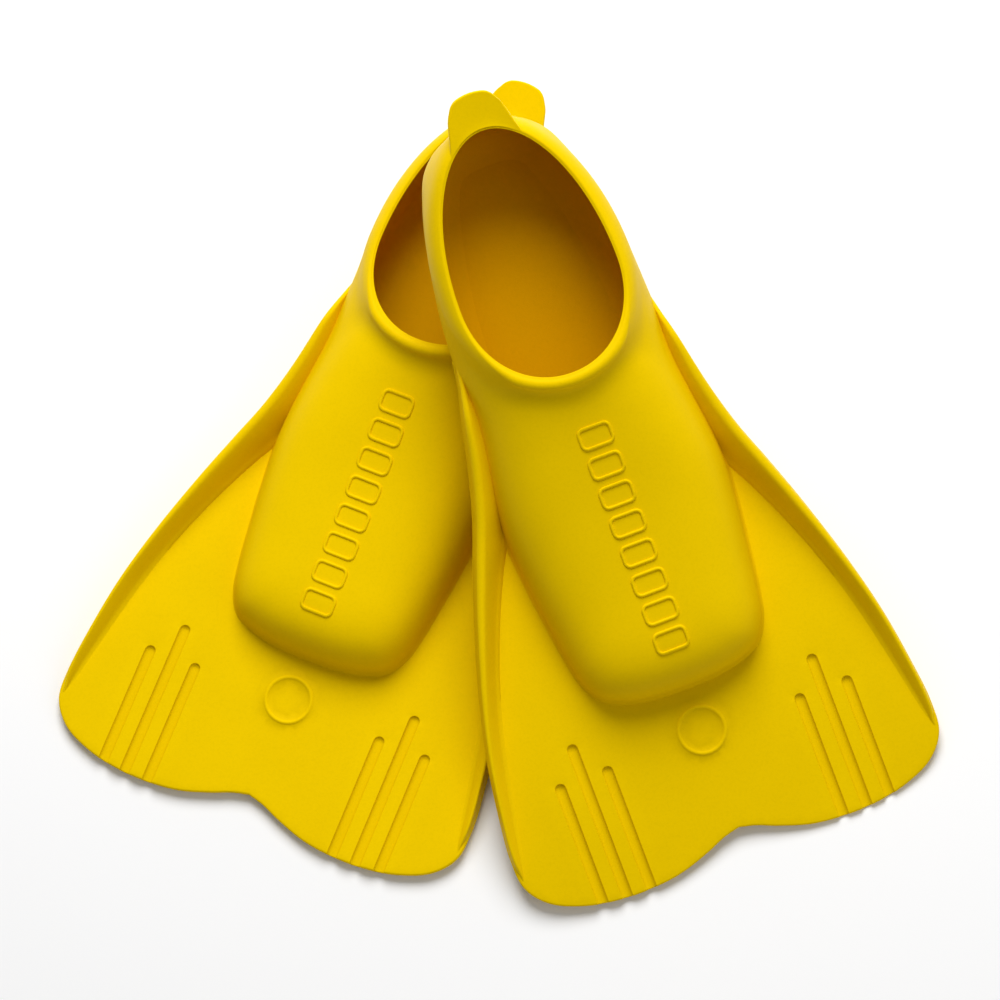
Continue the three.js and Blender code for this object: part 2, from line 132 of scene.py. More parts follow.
# ---- blade and sole ----
FIN_LENGTH = 286.0
PLATE_THICKNESS = 3.4
PLATE_END_THICKNESS = 2.2
EDGE_ROUND = 0.8  # radius of the plate's and the sole's edges
EDGE_FLAT = 0.02  # an edge's rounding leaves at least this much flat on each side of its middle
GROOVES = [(37.8, 240), (47.1, 228), (56.3, 240)]  # distance from the middle line, start from the heel
GROOVE_HALF = 2.1
GROOVE_DEPTH = 1.4
GROOVE_PAST_END = 4.0  # they run out through the blade's end
BLADE_RING = {"along": 238, "radius": 8.6, "half": 0.95, "up": 0.55}
HOLE_GAP = 0.4  # between the sole and the plate's hole for it
TREAD = {  # the slots across the sole; margin is from their ends to the sole's side
    "first": 18,
    "last": 204,
    "pitch": 9.0,
    "margin": 7,
    "half": 1.7,
    "depth": 0.9,
}

# ---- rails; the lists are of (distance from the heel, value) ----
RAIL_START = 72.0
RAIL_END = 269.0
RAIL_CREST_UP = [  # height of its crest
    (72, 16), (82, 19), (92, 23.4), (100, 25), (110, 23.8), (128, 20.4), (147, 17.5), (190, 14), (225, 11.3),
    (250, 8.6), (269, 5.4),
]
RAIL_LEAN = [  # how far the crest leans in from the fin's edge
    (72, 0.4), (84, 0.6), (92, 0.8), (100, 1.1), (120, 1.2), (147, 1.3), (165, 1.2), (195, 1), (225, 0.9),
    (269, 0.8),
]
RAIL_FOOT = [  # distance of its inner foot from the middle line
    (72, 34.8), (84, 35.8), (100, 35.4), (120, 36.4), (135, 39), (147, 42.8), (158, 48.6), (174, 56),
    (192, 63), (209, 68.3), (225, 72.2), (243, 75.9), (269, 80.9),
]
RAIL_FOOT_UP = [  # height of that foot
    (72, 10), (84, 13), (100, 18), (110, 16.5), (120, 13.5), (135, 9), (146, 4.9), (269, 4.9),
]
RAIL_CREST_HALF = [  # radius of its rounded crest
    (72, 0.5), (84, 0.7), (92, 1), (100, 1.4), (120, 2.2), (150, 2.2), (190, 1.4), (225, 0.8), (269, 0.6),
]
RAIL_ON_PLATE = 146.0  # from here on its inner foot stands on the plate, not on the pocket
RAIL_FOOT_SINK = 0.1  # its inner foot lies this deep in the plate
RAIL_SINK = 1.4  # and its underside this deep
RAIL_EDGE_GAP = 0.12  # its outer flank stands this far inside the plate's edge
RAIL_FADE = 12.0  # its crest sinks into the plate over this length
RAIL_END_SINK = 0.5  # and ends this deep in it
RAIL_BURY = 1.0  # its start lies this deep in the pocket's wall
RAIL_BURY_LENGTH = 16.0
RAIL_OUTER_POWER = 1.6  # the higher, the later its outer flank leans in
RAIL_INNER_POWER = 1.15  # the higher, the later its inner flank drops
RAIL_FLARE = {"by": 1.1, "from": 0.7, "power": 2.5}  # the hollow curve at its inner foot
RAIL_MIN_FLANK = 0.4  # least width of its inner flank
CREST_SHARE = 0.45  # the crest's radius is at most this share of the rail's height
CREST_TURN = math.radians(145)  # the rounded crest turns this far, from the outer flank to the inner one

# ---- heel tab ----
TAB = {
    "base_half": 15.0,
    "top_half": 9.8,
    "length": 13.4,
    "half_thickness": 0.9,
    "corner": 4.8,
    "lean": 75.0,  # in degrees from upright
    "bow": 0.9,  # its end's middle stands this far beyond its sides
    "narrow_from": 0.8,  # it is at its narrowest from this share of its length on
    "narrow_power": 0.8,  # the lower, the sooner it narrows
    "flat_by": 0.9,  # it loses the collar's curve over this share of its length
    "flatness": 0.75,  # and this much of it
    "root": 0.4,  # it is thicker by this at its root
    "root_length": 2.4,
    "edge_steepness": 1.6,
}

# ---- raised marks on the instep ----
MARK = {"half": 5.9, "long": 7.4, "corner": 2.0, "line": 0.75, "up": 0.65}
MARK_ROW = {"first": 124.0, "pitch": 11.2, "count": 8}
MARK_SECTION = [(-1, -0.6), (-0.85, 0.35), (-0.5, 0.9), (0, 1), (0.5, 0.9), (0.85, 0.35), (1, -0.6)]

# ---- the rubber ----
WHITE = (1, 1, 1)
YELLOW = (0.86, 0.575, 0.0)
SOLE_DARK = 0.94  # the sole is darker by this factor
RUBBERS = {
    "pocket_rubber": {"tone": YELLOW, "roughness": 0.46, "grain": 0.25},
    "blade_rubber": {"tone": YELLOW, "roughness": 0.5, "grain": 0.35},
    "sole_rubber": {"tone": tuple(c * SOLE_DARK for c in YELLOW), "roughness": 0.62, "grain": 0.6},
}
MOTTLE_DARK = 0.965  # the mottling's dark side, as a factor on the tone
MOTTLE_FROM = 0.35
MOTTLE_TO = 0.65
SPECK_TINTS = [(0.3, (0.93, 0.93, 0.93)), (0.55, WHITE)]
SPECK_SHARE = 0.5
WEAR_AND_SHADE_TINTS = [(0.44, (0.86, 0.84, 0.8)), (0.5, WHITE), (0.58, (1.04, 1.05, 1.1))]  # crevice darkened as dust and painted shade, flat, edge lightened as wear and painted highlight
WEAR_AND_SHADE_SHARE = 0.7
POCKET_SHADE_TINTS = [(0, WHITE), (1, (0.84, 0.62, 1.0))]  # outside the pocket, and the painted shade inside it, darker and more orange
SPECULAR = 0.07
SPECULAR_TINT = (1.0, 0.8, 0.1, 1)
SMOOTHER = 0.06  # roughness varies from this much below its mean
ROUGHER = 0.07  # to this much above it
UNEVEN_STRENGTH = 0.08
UNEVEN_HEIGHT = 0.15  # in millimetres, as is the grain's
GRAIN_HEIGHT = 0.12
MOTTLE = {"scale": 26, "detail": 3}  # the noises' scales are in waves to the metre
SPECKS = {"scale": 900, "detail": 2, "roughness": 0.6}
SMEARS = {"scale": 60, "detail": 4, "roughness": 0.6}
UNEVENNESS = {"scale": 220, "detail": 2}
GRAIN = {"scale": 2600, "detail": 2, "roughness": 0.7}

# ---- studio, in metres and degrees; the camera's distance, target, lens and sensor are in millimetres ----
FLOOR = {"half": 4.0, "colour": (0.97, 0.97, 0.97, 1), "roughness": 0.9, "specular": 0.1}
SKY_STRENGTH = 0.23
LIGHTS = {  # azimuth, elevation, distance, size, power in watts
    "key": (181, 50, 1.7, 1.2, 33),
    "fill": (60, 38, 1.8, 1.4, 4.5),
}
CAMERA = {
    "towards_viewer": 12.85,
    "towards_right": 4.85,
    "roll": 0.41,
    "distance": 1300,
    "target": (-0.2, 0.5, 0),
    "lens": 123.5,
    "sensor": 36,
    "clip": (0.05, 20),
}

# ---- mesh density ----
SHARP_ANGLE = 50  # edges sharper than this, in degrees, are shaded as sharp
CURVE_STEPS = 24
HALF_LINES = 130
BASE_ROWS = 34
FILLET_ROWS = 9
BEAD_ROWS = 30
SHADE_ROWS = 3  # the painted shade starts this many rows before the bead's inner end
RIM_SAMPLES = 2000
RIM_POINTS = 1200
PLATE_POINTS = 330
HOLE_POINTS = 110
SOLE_POINTS = 150
LATTICE = 2.6  # distance between the points that fill a flat face
LATTICE_CLEAR = 0.45  # they keep this share of it away from the outlines that the mesh follows
WELD = 1e-4  # points closer than this become one
EDGE_GUIDES = (0.0, 0.07, 0.24, 0.5, 0.8)  # insets from the edge where the mesh follows its rounding
SLOT_GUIDES = (1, 0.94, 0.82, 0.66, 0.45, 0.25)  # shares of a slot's half width
SLOT_END_POINTS = 13
SLOT_POINTS = 30  # on a slot's outline, besides two for each millimetre of its length
RING_POINTS = 72
RING_TOP = 0.35  # share of a raised ring's half width that is flat
RING_GUIDES = (-1, -0.7, -RING_TOP, RING_TOP, 0.7, 1)
RAIL_STEPS = 150
RAIL_FLANK_POINTS = 10
RAIL_CREST_POINTS = 9
TAB_COLUMNS = 44
TAB_ROWS = 34
MARK_POINTS = 56
MARK_CORNER_POINTS = 6


# ---- curves ----
def smooth_curve(points, steps=CURVE_STEPS):
    """A centripetal Catmull-Rom curve through the points."""
    fixed = np.array(points, float)
    padded = np.vstack([2 * fixed[0] - fixed[1], fixed, 2 * fixed[-1] - fixed[-2]])
    t = np.linspace(0, 1, steps, endpoint=False)[:, None]
    stretches = []
    for p0, p1, p2, p3 in zip(padded, padded[1:], padded[2:], padded[3:]):
        d0, d1, d2 = (math.sqrt(np.linalg.norm(b - a)) for a, b in ((p0, p1), (p1, p2), (p2, p3)))
        leave = p2 - p1 + d1 * ((p1 - p0) / d0 - (p2 - p0) / (d0 + d1))
        arrive = p2 - p1 + d1 * ((p3 - p2) / d2 - (p3 - p1) / (d1 + d2))
        stretches.append(hermite(p1, leave, p2, arrive, t))
    return np.vstack(stretches + [fixed[-1:]])


def hermite(start, leave, end, arrive, t):
    """A cubic from start to end that leaves and arrives in the given directions."""
    return (
        (2 * t**3 - 3 * t**2 + 1) * start
        + (t**3 - 2 * t**2 + t) * leave
        + (3 * t**2 - 2 * t**3) * end
        + (t**3 - t**2) * arrive
    )


def spaced(curve, count):
    """The curve as count points at even distances."""
    length = np.r_[0, np.cumsum(np.linalg.norm(np.diff(curve, axis=0), axis=1))]
    at = np.linspace(0, length[-1], count)
    return np.column_stack([np.interp(at, length, column) for column in curve.T])


def profile(pairs):
    """A smooth function through (at, value) pairs."""
    at, value = np.array(pairs, float).T
    slope = np.gradient(value, at)
    slope[1:-1] = (value[2:] - value[:-2]) / (at[2:] - at[:-2])

    def value_at(where):
        where = np.clip(np.asarray(where, float), at[0], at[-1])
        i = np.clip(np.searchsorted(at, where) - 1, 0, len(at) - 2)
        span = at[i + 1] - at[i]
        return hermite(value[i], slope[i] * span, value[i + 1], slope[i + 1] * span, (where - at[i]) / span)

    return value_at


def half_width(edge):
    """Half the width of an outline at each distance from the heel."""
    return profile([(along, half) for half, along in edge])


def mix(a, b, t):
    return a + (b - a) * t


def smoothstep(value, low, high):
    t = np.clip((value - low) / (high - low), 0, 1)
    return t * t * (3 - 2 * t)


def both_sides(half):
    """A closed outline from the half on the right, which starts and ends on the middle line."""
    return np.vstack([half, half[-2:0:-1] * (-1, 1)])


# ---- meshes ----
def placement(side):
    """The matrix from a fin's own frame, in metres with the heel towards +Y, to the row frame."""
    yaw, pitch, roll = (math.radians(angle) for angle in TURNS[side])
    turn = Matrix.Rotation(yaw, 4, "Z") @ Matrix.Rotation(pitch, 4, "X") @ Matrix.Rotation(roll, 4, "Y")
    flex = next(joint for joint in frame["joints"] if joint["name"] == f"{side}_blade_flex")
    hinge = Vector((0, -FLEX_ALONG * MM, FLEX_UP * MM))
    turn.translation = Vector(flex["pos_m"]) - turn.to_3x3() @ hinge
    return turn


def in_row_frame(side, point):
    """A point (across, along, up) of a fin, in the row frame."""
    across, along, up = point
    return placement(side) @ Vector((across * MM, -along * MM, up * MM))


def make_piece(side, name, shape, slot):
    """A smooth-shaded mesh object from a shape, in a slot and in the material of the same name.

    A shape is its (across, along, up) points, its faces, and depth, which is 1 at the points inside the
    foot pocket, where the rubber is painted darker and more orange as shade. The faces are turned to point
    out.
    """
    points, faces, depth = shape
    mesh = bpy.data.meshes.new(f"{side}_{name}")
    vertices = np.array(points, float) * (MM, -MM, MM)
    mesh.from_pydata(vertices.tolist(), [], [tuple(int(i) for i in face) for face in faces])
    painted_pocket_shade = mesh.attributes.new("painted_pocket_shade", "FLOAT", "POINT")
    painted_pocket_shade.data.foreach_set("value", np.broadcast_to(depth, len(vertices)).astype(float))
    mesh.transform(placement(side))
    mesh.validate()
    if signed_volume(mesh) < 0:
        mesh.flip_normals()
    mesh.shade_smooth()
    mesh.set_sharp_from_angle(angle=math.radians(SHARP_ANGLE))
    piece = bpy.data.objects.new(f"{side}_{name}", mesh)
    bpy.context.scene.collection.objects.link(piece)
    mesh.materials.append(MATERIALS[slot])
    return piece


def signed_volume(mesh):
    """The mesh's volume, negative where its faces point inwards."""
    mesh.calc_loop_triangles()
    corners = np.array([triangle.vertices[:] for triangle in mesh.loop_triangles])
    points = np.array([vertex.co[:] for vertex in mesh.vertices])
    a, b, c = (points[corners[:, k]] for k in range(3))
    return float(np.sum(np.cross(a, b) * c) / 6)


def ring_faces(rings, count, close_rings):
    """Quads over rings of count points each; the points of a ring close on themselves."""
    faces = []
    for i in range(rings if close_rings else rings - 1):
        here, there = i * count, ((i + 1) % rings) * count
        for j in range(count):
            k = (j + 1) % count
            faces.append((here + j, here + k, there + k, there + j))
    return faces


def loft(rings):
    """Points and faces of a solid over rings, with its two ends capped."""
    rings = np.array(rings)
    steps, count = rings.shape[:2]
    faces = ring_faces(steps, count, False)
    faces.append(tuple(range(count))[::-1])
    faces.append(tuple(range((steps - 1) * count, steps * count)))
    return rings.reshape(-1, 3), faces


# ---- the foot pocket and its collar ----
pocket_edge = smooth_curve(POCKET_EDGE)
pocket_half = half_width(POCKET_SIDE)
instep_up = profile(INSTEP_UP)


def bearing(points, centre):
    """Bearing of each point from the middle line's point at centre: 0 towards the toe, pi to the heel."""
    return np.arctan2(np.abs(points[..., 0]), points[..., 1] - centre)


def instep_height(across, along):
    """Height of the instep and toe box above a point in plan."""
    across, along = np.abs(np.asarray(across, float)), np.asarray(along, float)
    toe = along > TOE_CENTRE
    turned = np.arctan2(across, along - TOE_CENTRE)
    order = np.argsort(bearing(pocket_edge, TOE_CENTRE))
    reach = np.hypot(pocket_edge[:, 0], pocket_edge[:, 1] - TOE_CENTRE)
    edge = np.interp(turned, bearing(pocket_edge, TOE_CENTRE)[order], reach[order])
    spread = np.where(toe, np.hypot(across, along - TOE_CENTRE) / edge, across / pocket_half(along))
    towards_toe = np.where(toe, 1 - turned / (math.pi / 2), 0)
    side_power = mix(DOME_POWER["ankle"], DOME_POWER["instep"], smoothstep(along, *BOXY_ZONE))
    power = mix(side_power, DOME_POWER["toe"], smoothstep(towards_toe, 0, TOE_SHARE))
    rise = np.sqrt(np.maximum(1 - np.minimum(spread, 1) ** power, 0))
    return DOME_FOOT + (instep_up(along) - DOME_FOOT) * rise


def rim_curve(count):
    """Middle line of the collar from the heel round to the instep."""
    angle = np.linspace(0, math.pi, count)
    rear = angle < math.pi / 2
    power = np.where(rear, OPENING["heel_power"], OPENING["front_power"])
    reach = np.where(rear, OPENING["middle"] - OPENING["heel"], OPENING["front"] - OPENING["middle"])
    across = np.abs(np.sin(angle)) ** (2 / power)
    along = -np.sign(np.cos(angle)) * np.abs(np.cos(angle)) ** (2 / power)
    end_up = np.where(rear, RIM_UP["heel"], RIM_UP["front"])
    return np.column_stack([
        across * (OPENING["half"] + BEAD),
        OPENING["middle"] + along * (reach + BEAD),
        mix(RIM_UP["side"], end_up, along**2),
    ])


def plan_normals(curve):
    """Outward normals in plan of a half outline that runs from the heel to the toe."""
    along = np.gradient(curve[:, :2], axis=0)
    normal = np.column_stack([along[:, 1], -along[:, 0]])
    return normal / np.linalg.norm(normal, axis=1)[:, None]


def facing_ends(directions):
    """The directions, with the first facing straight back at the heel and the last straight to the toe."""
    directions[0], directions[-1] = (0, -1), (0, 1)
    return directions


def rim_facing(foot):
    """The collar's point that each foot point's fan line runs to, and the way out from the opening there."""
    curve = spaced(rim_curve(RIM_SAMPLES), RIM_POINTS)
    round_it = bearing(curve, FAN_CENTRE)
    order = np.argsort(round_it)
    pick = np.interp(bearing(foot, FAN_CENTRE), round_it[order], order.astype(float))
    index = np.arange(len(curve))
    rim = np.column_stack([np.interp(pick, index, column) for column in curve.T])
    away = np.column_stack([np.interp(pick, index, column) for column in plan_normals(curve).T])
    return rim, facing_ends(away / np.linalg.norm(away, axis=1)[:, None])


def upright_wall(foot, outward, foot_up, end, front):
    """The wall of the heel and sides in plan and in height: widest at CURL_UP, turned in above and below."""
    t = np.linspace(0, 1, BASE_ROWS)[None, :] ** ROW_POWER
    upper = np.clip((t - CURL_UP) / (1 - CURL_UP), 0, 1) ** UPPER_POWER
    lower = np.clip((CURL_UP - t) / CURL_UP, 0, 1) ** CURL_POWER
    plan = (
        foot[:, None, :]
        + upper[..., None] * (end[:, :2] - foot)[:, None, :]
        - (lower * CURL * (1 - front))[..., None] * outward[:, None, :]
    )
    return plan, foot_up + (end[:, 2:] - foot_up) * t


def instep_dome(foot, foot_up, end):
    """The dome of the instep and toe box in plan and in height."""
    row = np.linspace(0, 1, BASE_ROWS)[None, :]
    u = 1 - np.cos(math.pi / 2 * row)
    plan = foot[:, None, :] + u[..., None] * (end[:, :2] - foot)[:, None, :]
    return plan, np.where(row == 0, foot_up, instep_height(plan[..., 0], plan[..., 1]))


def bead_centre(rim, away, radius):
    """Middle line of a bead of the given radius that keeps the opening's size."""
    return rim + (BEAD - radius) * (np.array((0, 0, EDGE_RAISE)) - away)


def collar_bead(rim, away, shoulder):
    """The collar's bead with its fine lip, and the direction in which a fillet arrives at it."""
    radius = mix(SIDE_BEAD, BEAD, shoulder)
    first = np.radians(mix(BEAD_START["side"], BEAD_START["front"], shoulder))
    angle = mix(first, math.radians(BEAD_END), np.linspace(0, 1, BEAD_ROWS)[None, :])[..., None]
    lip_up = mix(LIP["side_up"], LIP["up"], shoulder)[..., None]
    lip = lip_up * np.exp(-(((angle - LIP["at"]) / LIP["width"]) ** 2))
    turned = np.cos(angle) * away[:, None, :] + np.sin(angle) * (0, 0, 1)
    bead = bead_centre(rim, away, radius)[:, None, :] + (radius[..., None] + lip) * turned
    return bead, np.cos(first) * np.array((0, 0, 1.0)) - np.sin(first) * away


def fillet(start, leave, end, arrive):
    """FILLET_ROWS rows of points that run smoothly from one row of points to another."""
    gap = np.linalg.norm(end - start, axis=1)[:, None]
    t = np.linspace(0, 1, FILLET_ROWS + 2)[1:-1][None, :, None]
    return hermite(start[:, None], (leave * gap)[:, None], end[:, None], (arrive * gap)[:, None], t)


def last_step(grid):
    """Unit steps from the last row but one of a grid to its last row."""
    step = grid[:, -1] - grid[:, -2]
    return step / np.linalg.norm(step, axis=1)[:, None]


def pocket_half_grid():
    """The outside of the pocket, the hollow behind the collar, and the collar's bead: [line, row, xyz].

    The lines run from the heel round to the toe on the right-hand side.
    """
    foot = spaced(pocket_edge, HALF_LINES + 1)
    outward = facing_ends(plan_normals(foot))
    rim, away = rim_facing(foot)
    front = smoothstep(foot[:, 1], *FRONT_ZONE)[:, None]
    shoulder = smoothstep(foot[:, 1], *SHOULDER_ZONE)[:, None]
    foot_up = mix(FOOT_UP["side"], FOOT_UP["front"], smoothstep(foot[:, 1], *PLATE_ZONE))[:, None]
    end = np.column_stack([
        rim[:, :2] + away * (BEAD + mix(COLLAR_GAP["side"], COLLAR_GAP["front"], front)),
        rim[:, 2:] - mix(COLLAR_DROP["side"], COLLAR_DROP["front"], front),
    ])

    wall_plan, wall_up = upright_wall(foot, outward, foot_up, end, front)
    dome_plan, dome_up = instep_dome(foot, foot_up, end)
    plan = mix(wall_plan, dome_plan, front[..., None])
    up = mix(wall_up, dome_up, front)
    near_foot = np.clip((SOLE_TOP + FOOT_FILLET - up) / FOOT_FILLET, 0, 1) ** 2
    plan += (near_foot * FOOT_FILLET * front)[..., None] * outward[:, None, :]
    base = np.dstack([plan, up])

    bead, arrive = collar_bead(rim, np.column_stack([away, np.zeros(len(away))]), shoulder)
    return base, fillet(base[:, -1], last_step(base), bead[:, 0], arrive), bead


def mirrored_lines(half):
    """All the lines round the pocket from those of its right half."""
    half[0, :, 0] = 0
    half[-1, :, 0] = 0
    return np.concatenate([half, half[-2:0:-1] * (-1, 1, 1)])


def grid_normals(grid):
    """Outward normals of a grid of lines that run all the way round the pocket."""
    round_it = np.roll(grid, -1, axis=0) - np.roll(grid, 1, axis=0)
    up_it = np.gradient(grid, axis=1)
    normal = np.cross(round_it, up_it)
    normal /= np.maximum(np.linalg.norm(normal, axis=2), 1e-9)[..., None]
    outwards = np.sign(np.sum(normal[..., 2]))
    return normal * outwards


def inner_skin(base):
    """The pocket's inside from the foot bed up: a wall's thickness in, on a flat bed with a soft corner."""
    normal = grid_normals(base)
    inner = base - WALL * normal
    bed_up = SOLE_TOP - INNER_SINK
    inner[..., 2] = np.maximum(inner[..., 2], bed_up)
    inner[:, 0, 2] = bed_up
    flat_normal = normal[:, :1, :2] / np.linalg.norm(normal[:, :1, :2], axis=2)[..., None]
    low = np.clip((bed_up + INNER_FILLET - inner[..., 2]) / INNER_FILLET, 0, 1)
    inner[..., :2] -= INNER_FILLET * (1 - np.sqrt(1 - low**2))[..., None] * flat_normal
    return inner


def pocket_and_collar():
    """The pocket's shell with its collar, as one closed skin."""
    base, outer_fillet, bead = (mirrored_lines(part) for part in pocket_half_grid())
    inner = inner_skin(base)
    inner_fillet = fillet(bead[:, -1], np.array((0, 0, -1.0)), inner[:, -1], -last_step(inner))
    rings = np.concatenate([base, outer_fillet, bead, inner_fillet, inner[:, ::-1]], axis=1)
    lines, rows = rings.shape[:2]
    last_outside = rows - inner.shape[1] - FILLET_ROWS - 1
    # painted shade: the colour darkens and turns orange from a few rows before the bead's inner end on into
    # the pocket
    depth = smoothstep(np.arange(rows), last_outside - SHADE_ROWS, last_outside + FILLET_ROWS)
    return rings.reshape(-1, 3), ring_faces(lines, rows, True), np.tile(depth, lines)


# ---- flat mouldings: blade and sole ----
def offset(loop, distance):
    """A closed outline moved inwards."""
    along = np.roll(loop, -1, axis=0) - np.roll(loop, 1, axis=0)
    inward = np.column_stack([-along[:, 1], along[:, 0]])
    inward /= np.linalg.norm(inward, axis=1)[:, None]
    area = np.sum(loop[:, 0] * np.roll(loop[:, 1], -1) - np.roll(loop[:, 0], -1) * loop[:, 1])
    return loop + inward * distance * math.copysign(1, area)


def distance_to(loop, points, closed=True):
    """Distance from each point to a polyline."""
    starts = loop if closed else loop[:-1]
    ends = np.roll(loop, -1, axis=0) if closed else loop[1:]
    best = np.full(len(points), np.inf)
    for start, end in zip(starts, ends):
        step = end - start
        t = np.clip((points - start) @ step / max(step @ step, 1e-12), 0, 1)
        best = np.minimum(best, np.hypot(*(points - start - t[:, None] * step).T))
    return best


def inside(loop, points):
    """Which points lie inside a closed outline."""
    count = np.zeros(len(points), int)
    for (x0, y0), (x1, y1) in zip(loop, np.roll(loop, -1, axis=0)):
        crosses = (y0 > points[:, 1]) != (y1 > points[:, 1])
        with np.errstate(divide="ignore", invalid="ignore"):
            at = x0 + (points[:, 1] - y0) * (x1 - x0) / (y1 - y0)
        count += crosses & (points[:, 0] < at)
    return count % 2 == 1


def circle_points(radius, turn):
    """Points at the given angles of a circle about 0."""
    return radius * np.column_stack([np.cos(turn), np.sin(turn)])


class Slot:
    """A straight groove with round ends, sunk into a flat face."""

    def __init__(self, start, end, half, depth):
        self.line = np.array([start, end], float)
        self.half = half
        self.depth = depth

    def drop(self, points):
        """How far the face is sunk at each point."""
        away = distance_to(self.line, points, closed=False)
        return self.depth * np.sqrt(1 - np.minimum(away / self.half, 1) ** 2)

    def guides(self):
        """Outlines that the mesh's edges follow."""
        step = self.line[1] - self.line[0]
        heading = math.atan2(step[1], step[0])
        turn = np.linspace(math.pi / 2, 3 * math.pi / 2, SLOT_END_POINTS) + heading
        count = 2 * int(np.linalg.norm(step)) + SLOT_POINTS
        for share in SLOT_GUIDES:
            first = self.line[0] + circle_points(self.half * share, turn)
            last = self.line[1] + circle_points(self.half * share, turn + math.pi)
            yield spaced(np.vstack([first, last, first[:1]]), count)[:-1]


class Ring:
    """A plain raised ring on a flat face."""

    def __init__(self, centre, radius, half, height):
        self.centre = np.array(centre, float)
        self.radius = radius
        self.half = half
        self.height = height

    def drop(self, points):
        """How far the face is sunk at each point, which is less than nothing on the ring."""
        away = np.abs(np.hypot(*(points - self.centre).T) - self.radius)
        return -self.height * (1 - smoothstep(away, self.half * RING_TOP, self.half))

    def guides(self):
        """Circles that the mesh's edges follow."""
        turn = np.linspace(0, 2 * math.pi, RING_POINTS, endpoint=False)
        for across in RING_GUIDES:
            yield self.centre + circle_points(self.radius + across * self.half, turn)


def lattice(outline, guides):
    """Evenly spread points inside an outline that keep clear of the guides' points."""
    low, high = outline.min(axis=0), outline.max(axis=0)
    rows = np.arange(low[1], high[1], LATTICE * math.sqrt(3) / 2)
    filling = np.array([
        (x + (i % 2) * LATTICE / 2, y)
        for i, y in enumerate(rows)
        for x in np.arange(low[0], high[0], LATTICE)
    ])
    filling = filling[inside(offset(outline, EDGE_ROUND + LATTICE / 3), filling)]
    near = np.array([np.min(np.hypot(*(guides - point).T)) for point in filling])
    return filling[near > LATTICE * LATTICE_CLEAR]


def triangulated(outline, loops, hole):
    """Points in plan and triangles that fill an outline round its hole, with edges along the loops."""
    guides = np.vstack(loops)
    edges = []
    first = 0
    for loop in loops:
        edges += [(first + i, first + (i + 1) % len(loop)) for i in range(len(loop))]
        first += len(loop)
    points = [Vector(point) for point in np.vstack([guides, lattice(outline, guides)])]
    made = delaunay_2d_cdt(points, edges, [], 0, WELD)
    plan = np.array([tuple(point) for point in made[0]])
    triangles = np.array(made[2])
    middle = plan[triangles].mean(axis=1)
    keep = inside(outline, middle)
    if hole is not None:
        keep &= ~inside(hole, middle)
    return plan, triangles[keep]


def total_drop(marks, plan):
    """How far all the marks together sink a face at each point."""
    return sum((mark.drop(plan) for mark in marks), np.zeros(len(plan)))


def between_faces(triangles, count):
    """Faces of a plate whose lower points follow its count upper ones in the same order."""
    sides = {(a, b) for triangle in triangles for a, b in zip(triangle, np.roll(triangle, -1))}
    rim = [(a, b) for a, b in sides if (b, a) not in sides]
    faces = [tuple(triangle) for triangle in triangles]
    faces += [tuple(triangle[::-1] + count) for triangle in triangles]
    faces += [(b, a, a + count, b + count) for a, b in rim]
    return faces


def flat_moulding(outline, top_at, bottom_at, top_marks=(), bottom_marks=(), hole=None):
    """A plate with rounded edges between two height functions, with marks sunk in or raised on its faces."""
    loops = [offset(outline, inset) for inset in EDGE_GUIDES]
    loops += [guide for mark in (*top_marks, *bottom_marks) for guide in mark.guides()]
    if hole is not None:
        loops.append(hole)
    plan, triangles = triangulated(outline, loops, hole)

    top = top_at(*plan.T) - total_drop(top_marks, plan)
    bottom = bottom_at(*plan.T) + total_drop(bottom_marks, plan)
    radius = np.minimum(EDGE_ROUND, (top - bottom) / 2 - EDGE_FLAT)
    near_edge = np.clip(1 - distance_to(outline, plan) / radius, 0, 1)
    rounding = radius * (1 - np.sqrt(1 - near_edge**2))
    upper = np.column_stack([plan, top - rounding])
    lower = np.column_stack([plan, bottom + rounding])

    faces = between_faces(triangles, len(plan))
    used = sorted({i for face in faces for i in face})
    renumber = {old: new for new, old in enumerate(used)}
    return np.vstack([upper, lower])[used], [tuple(renumber[i] for i in face) for face in faces]


def blade_thickness(along):
    """The plate's thickness, which shrinks from the flex line to the end."""
    past_flex = np.clip((along - FLEX_ALONG) / (FIN_LENGTH - FLEX_ALONG), 0, 1)
    return mix(PLATE_THICKNESS, PLATE_END_THICKNESS, past_flex)


def blade_plate():
    """The plate round the toe box and the free blade, with its six grooves and a plain raised ring."""
    half = spaced(smooth_curve(FIN_EDGE[1:]), PLATE_POINTS)
    outline = np.vstack([half, half[-2::-1] * (-1, 1)])
    hole = offset(both_sides(spaced(smooth_curve(SOLE_EDGE), HOLE_POINTS)), -HOLE_GAP)
    groove_end = FIN_LENGTH + GROOVE_PAST_END
    marks = [
        Slot((side * across, start), (side * across, groove_end), GROOVE_HALF, GROOVE_DEPTH)
        for across, start in GROOVES
        for side in (-1, 1)
    ]
    marks.append(Ring((0, BLADE_RING["along"]), BLADE_RING["radius"], BLADE_RING["half"], BLADE_RING["up"]))
    points, faces = flat_moulding(
        outline,
        lambda across, along: FLEX_UP + blade_thickness(along) / 2,
        lambda across, along: FLEX_UP - blade_thickness(along) / 2,
        top_marks=marks,
        hole=hole,
    )
    return points, faces, 0


def sole():
    """The thicker tread under the foot, crossed by slots; its top is the pocket's foot bed."""
    outline = both_sides(spaced(smooth_curve(SOLE_EDGE), SOLE_POINTS))
    half_at = half_width(SOLE_SIDE)
    slots = []
    for along in np.arange(TREAD["first"], TREAD["last"], TREAD["pitch"]):
        reach = float(half_at(along)) - TREAD["margin"]
        slots.append(Slot((-reach, along), (reach, along), TREAD["half"], TREAD["depth"]))
    points, faces = flat_moulding(
        outline,
        lambda across, along: SOLE_TOP + 0 * across,
        lambda across, along: 0 * across,
        bottom_marks=slots,
    )
    # the foot bed's points get the painted pocket shade
    return points, faces, (points[:, 2] > SOLE_TOP / 2).astype(float)


